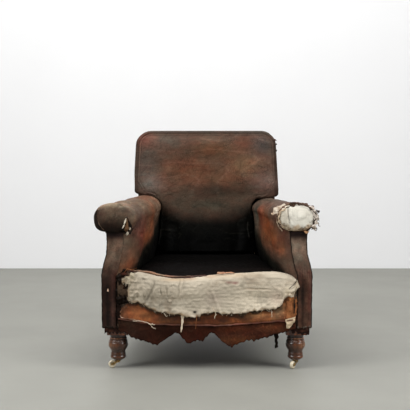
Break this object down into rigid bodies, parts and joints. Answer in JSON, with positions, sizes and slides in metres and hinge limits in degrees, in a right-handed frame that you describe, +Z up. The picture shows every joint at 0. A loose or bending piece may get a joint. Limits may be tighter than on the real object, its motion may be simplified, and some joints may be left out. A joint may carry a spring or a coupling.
{
  "type": "worn club chair",
  "caption": "Worn leather club chair with scroll arms, torn front covers, turned legs and castors.",
  "frame": {"origin": "on the floor, under the middle of the chair's overall width and depth", "axes": "+Z up, -Y out of the chair's front, +X to the right of someone who faces the chair"},
  "size_m": [0.818, 0.8989, 0.883],
  "materials": {
    "stained_oak": "satin",
    "beech": "matt",
    "brass": "worn",
    "porcelain": "worn glaze",
    "spring_steel": "dull",
    "jute_webbing": "woven",
    "hessian": "woven",
    "horsehair": "fibrous",
    "calico": "plain weave",
    "tan_leather": "flesh side",
    "brown_leather": "worn",
    "dark_leather": "worn"
  },
  "bodies": {
    "chair": {"front_seat_rail": "beech", "rear_seat_rail": "beech", "back_top_rail": "beech", "back_tack_rail": "beech", "front_leg_left": "stained_oak", "front_leg_right": "stained_oak", "rear_leg_left": "stained_oak", "rear_leg_right": "stained_oak", "arm_post_left": "stained_oak", "arm_post_right": "stained_oak", "side_seat_rail_left": "beech", "side_seat_rail_right": "beech", "arm_rail_left": "beech", "arm_rail_right": "beech", "arm_tack_rail_left": "beech", "arm_tack_rail_right": "beech", "seat_spring_11": "spring_steel", "seat_spring_12": "spring_steel", "seat_spring_13": "spring_steel", "seat_spring_21": "spring_steel", "seat_spring_22": "spring_steel", "seat_spring_23": "spring_steel", "seat_spring_31": "spring_steel", "seat_spring_32": "spring_steel", "seat_spring_33": "spring_steel", "castor_cup_front_left": "brass", "castor_cup_front_right": "brass", "castor_cup_rear_left": "brass", "castor_cup_rear_right": "brass", "seat_webbing": "jute_webbing", "spring_canvas": "hessian", "seat_stuffing": "horsehair", "seat_edge_roll": "horsehair", "back_stuffing": "horsehair", "arm_stuffing_left": "horsehair", "arm_stuffing_right": "horsehair", "seat_leather": "dark_leather", "inside_back_leather": "dark_leather", "front_valance": "dark_leather", "outside_back_leather": "brown_leather", "front_band": "tan_leather", "front_calico": "calico", "scroll_pad_left": "calico", "scroll_pad_right": "calico", "scroll_facing_left": "brown_leather", "arm_leather_left": "brown_leather", "outside_arm_leather_left": "brown_leather", "front_facing_left": "brown_leather", "arm_leather_right": "brown_leather", "outside_arm_leather_right": "brown_leather", "front_facing_right": "brown_leather"},
    "fork_front_left": {"castor_fork_front_left": "brass"},
    "wheel_front_left": {"castor_wheel_front_left": "porcelain"},
    "fork_front_right": {"castor_fork_front_right": "brass"},
    "wheel_front_right": {"castor_wheel_front_right": "porcelain"},
    "fork_rear_left": {"castor_fork_rear_left": "brass"},
    "wheel_rear_left": {"castor_wheel_rear_left": "porcelain"},
    "fork_rear_right": {"castor_fork_rear_right": "brass"},
    "wheel_rear_right": {"castor_wheel_rear_right": "porcelain"}
  },
  "joints": [
    {"name": "swivel_front_left", "type": "hinge", "parent": "chair", "child": "fork_front_left", "pos_m": [-0.326, -0.3922, 0.03], "axis": [0, 0, 1], "continuous": true},
    {"name": "roll_front_left", "type": "hinge", "parent": "fork_front_left", "child": "wheel_front_left", "pos_m": [-0.34841, -0.39416, 0.014], "axis": [0.0872, -0.9962, 0], "continuous": true},
    {"name": "swivel_front_right", "type": "hinge", "parent": "chair", "child": "fork_front_right", "pos_m": [0.326, -0.3922, 0.03], "axis": [0, 0, 1], "continuous": true},
    {"name": "roll_front_right", "type": "hinge", "parent": "fork_front_right", "child": "wheel_front_right", "pos_m": [0.31441, -0.41149, 0.014], "axis": [0.8572, -0.515, 0], "continuous": true},
    {"name": "swivel_rear_left", "type": "hinge", "parent": "chair", "child": "fork_rear_left", "pos_m": [-0.285, 0.402, 0.03], "axis": [0, 0, 1], "continuous": true},
    {"name": "roll_rear_left", "type": "hinge", "parent": "fork_rear_left", "child": "wheel_rear_left", "pos_m": [-0.29343, 0.42286, 0.014], "axis": [-0.9272, -0.3746, 0], "continuous": true},
    {"name": "swivel_rear_right", "type": "hinge", "parent": "chair", "child": "fork_rear_right", "pos_m": [0.285, 0.402, 0.03], "axis": [0, 0, 1], "continuous": true},
    {"name": "roll_rear_right", "type": "hinge", "parent": "fork_rear_right", "child": "wheel_rear_right", "pos_m": [0.29486, 0.42222, 0.014], "axis": [-0.8988, 0.4384, 0], "continuous": true}
  ]
}
